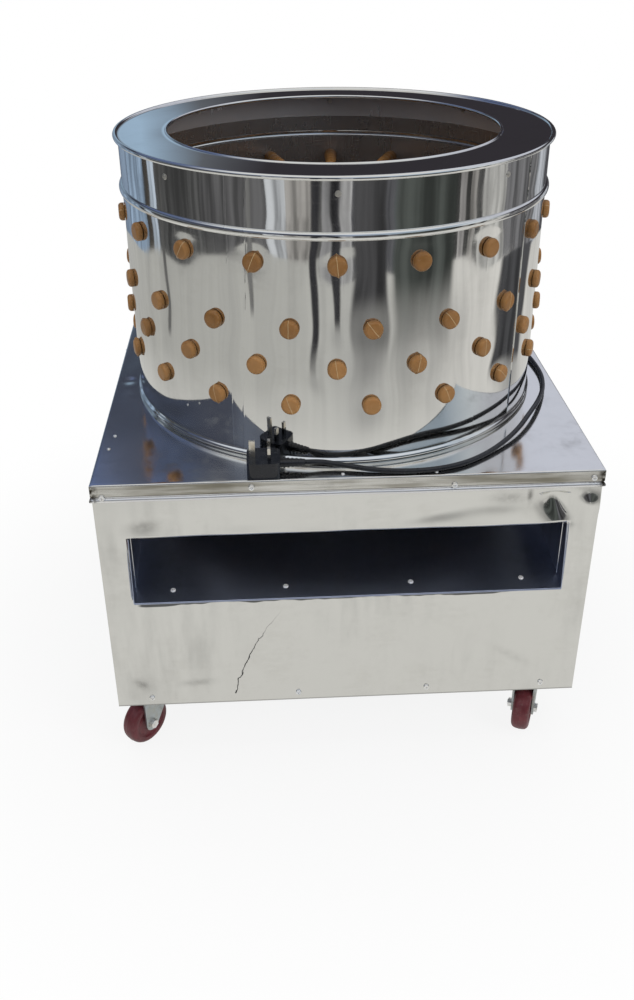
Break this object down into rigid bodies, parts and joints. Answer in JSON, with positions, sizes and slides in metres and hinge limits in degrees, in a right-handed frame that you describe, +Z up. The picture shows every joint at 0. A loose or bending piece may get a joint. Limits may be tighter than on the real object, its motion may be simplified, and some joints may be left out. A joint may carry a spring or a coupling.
{
  "type": "poultry plucker",
  "caption": "Drum poultry plucker: a finger-lined stainless drum with a belt-driven turntable on a square cabinet with a feather chute, swivel casters and a mains lead.",
  "frame": {"origin": "on the floor under the drum's axis, midway between the casters", "axes": "+Z up along the drum's axis; -Y towards the chute's mouth; +X to the right seen from the front"},
  "size_m": [0.6848, 0.6926, 0.863],
  "materials": {
    "polished_steel": "mirror-polished stainless sheet",
    "zinc": "bright zinc plate",
    "frame_paint": "grey primer paint",
    "cast_iron": "painted casting",
    "finger_rubber": "soft amber rubber",
    "wheel_tread": "dark red cast tread",
    "belt_rubber": "black belt",
    "motor_paint": "grey enamel",
    "black_plastic": "moulded plastic",
    "grey_plastic": "moulded plastic",
    "green_plastic": "moulded plastic",
    "red_plastic": "moulded plastic",
    "brass": "nickel-plated brass"
  },
  "bodies": {
    "cabinet": {"deck_plate": "polished_steel", "front_panel": "polished_steel", "rear_panel": "polished_steel", "left_panel": "polished_steel", "right_panel": "polished_steel", "feather_chute": "polished_steel", "chute_walls": "polished_steel", "drum_shell": "polished_steel", "top_ring": "polished_steel", "bearing_outer_rings": "polished_steel", "panel_screws": "zinc", "rivets": "zinc", "drive_bolts": "zinc", "caster_plates": "zinc", "caster_bolts": "zinc", "base_frame": "frame_paint", "drive_plate": "frame_paint", "bearing_pedestal": "cast_iron", "motor_stator": "cast_iron", "wall_fingers_upper": "finger_rubber", "wall_fingers_lower": "finger_rubber", "drive_belt": "belt_rubber", "motor_housing": "motor_paint", "motor_end_shields": "motor_paint", "motor_fan_cover": "motor_paint", "motor_terminal_box": "black_plastic", "motor_capacitor": "black_plastic", "motor_cable": "black_plastic", "switch_cover": "black_plastic", "contact_block": "black_plastic", "lead_gland": "black_plastic", "power_lead": "black_plastic", "plug_body": "black_plastic", "switch_box": "grey_plastic", "plug_pins": "brass"},
    "turntable_body": {"turntable": "polished_steel", "turntable_fingers": "finger_rubber", "turntable_hub": "zinc", "hub_bolts": "zinc", "main_shaft": "zinc", "bearing_inner_rings": "polished_steel", "bearing_balls": "zinc", "driven_pulley": "cast_iron"},
    "motor_rotor": {"motor_shaft": "zinc", "motor_fan": "black_plastic", "motor_pulley": "cast_iron"},
    "start_button_body": {"start_button": "green_plastic"},
    "stop_button_body": {"stop_button": "red_plastic"},
    "caster_front_left": {"caster_fork_front_left": "zinc", "caster_axle_front_left": "zinc"},
    "wheel_front_left": {"caster_wheel_front_left": "wheel_tread"},
    "caster_front_right": {"caster_fork_front_right": "zinc", "caster_axle_front_right": "zinc"},
    "wheel_front_right": {"caster_wheel_front_right": "wheel_tread"},
    "caster_rear_left": {"caster_fork_rear_left": "zinc", "caster_axle_rear_left": "zinc"},
    "wheel_rear_left": {"caster_wheel_rear_left": "wheel_tread"},
    "caster_rear_right": {"caster_fork_rear_right": "zinc", "caster_axle_rear_right": "zinc"},
    "wheel_rear_right": {"caster_wheel_rear_right": "wheel_tread"}
  },
  "joints": [
    {"name": "turntable_spin", "type": "hinge", "parent": "cabinet", "child": "turntable_body", "pos_m": [0, 0, 0.476], "axis": [0, 0, 1], "continuous": true},
    {"name": "motor_spin", "type": "hinge", "parent": "cabinet", "child": "motor_rotor", "pos_m": [0, 0.215, 0.24], "axis": [0, 0, 1], "continuous": true},
    {"name": "swivel_front_left", "type": "hinge", "parent": "cabinet", "child": "caster_front_left", "pos_m": [-0.29, -0.272, 0.09], "axis": [0, 0, 1], "continuous": true},
    {"name": "roll_front_left", "type": "hinge", "parent": "caster_front_left", "child": "wheel_front_left", "pos_m": [-0.30968, -0.29464, 0.0375], "axis": [0.7547, -0.6561, 0], "continuous": true},
    {"name": "swivel_front_right", "type": "hinge", "parent": "cabinet", "child": "caster_front_right", "pos_m": [0.29, -0.272, 0.09], "axis": [0, 0, 1], "continuous": true},
    {"name": "roll_front_right", "type": "hinge", "parent": "caster_front_right", "child": "wheel_front_right", "pos_m": [0.27876, -0.29982, 0.0375], "axis": [0.9272, -0.3746, 0], "continuous": true},
    {"name": "swivel_rear_left", "type": "hinge", "parent": "cabinet", "child": "caster_rear_left", "pos_m": [-0.29, 0.272, 0.09], "axis": [0, 0, 1], "continuous": true},
    {"name": "roll_rear_left", "type": "hinge", "parent": "caster_rear_left", "child": "wheel_rear_left", "pos_m": [-0.28073, 0.24347, 0.0375], "axis": [0.9511, 0.309, 0], "continuous": true},
    {"name": "swivel_rear_right", "type": "hinge", "parent": "cabinet", "child": "caster_rear_right", "pos_m": [0.29, 0.272, 0.09], "axis": [0, 0, 1], "continuous": true},
    {"name": "roll_rear_right", "type": "hinge", "parent": "caster_rear_right", "child": "wheel_rear_right", "pos_m": [0.27732, 0.24481, 0.0375], "axis": [0.9063, -0.4226, 0], "continuous": true},
    {"name": "start_press", "type": "slide", "parent": "cabinet", "child": "start_button_body", "axis": [1, 0, 0], "range_m": [0, 0.004], "stiffness_N_per_m": 400, "springref_m": -0.001},
    {"name": "stop_press", "type": "slide", "parent": "cabinet", "child": "stop_button_body", "axis": [1, 0, 0], "range_m": [0, 0.004], "stiffness_N_per_m": 400, "springref_m": -0.001}
  ],
  "couplings": [
    {"joint": "motor_spin", "follows": "turntable_spin", "ratio": 5.4}
  ]
}
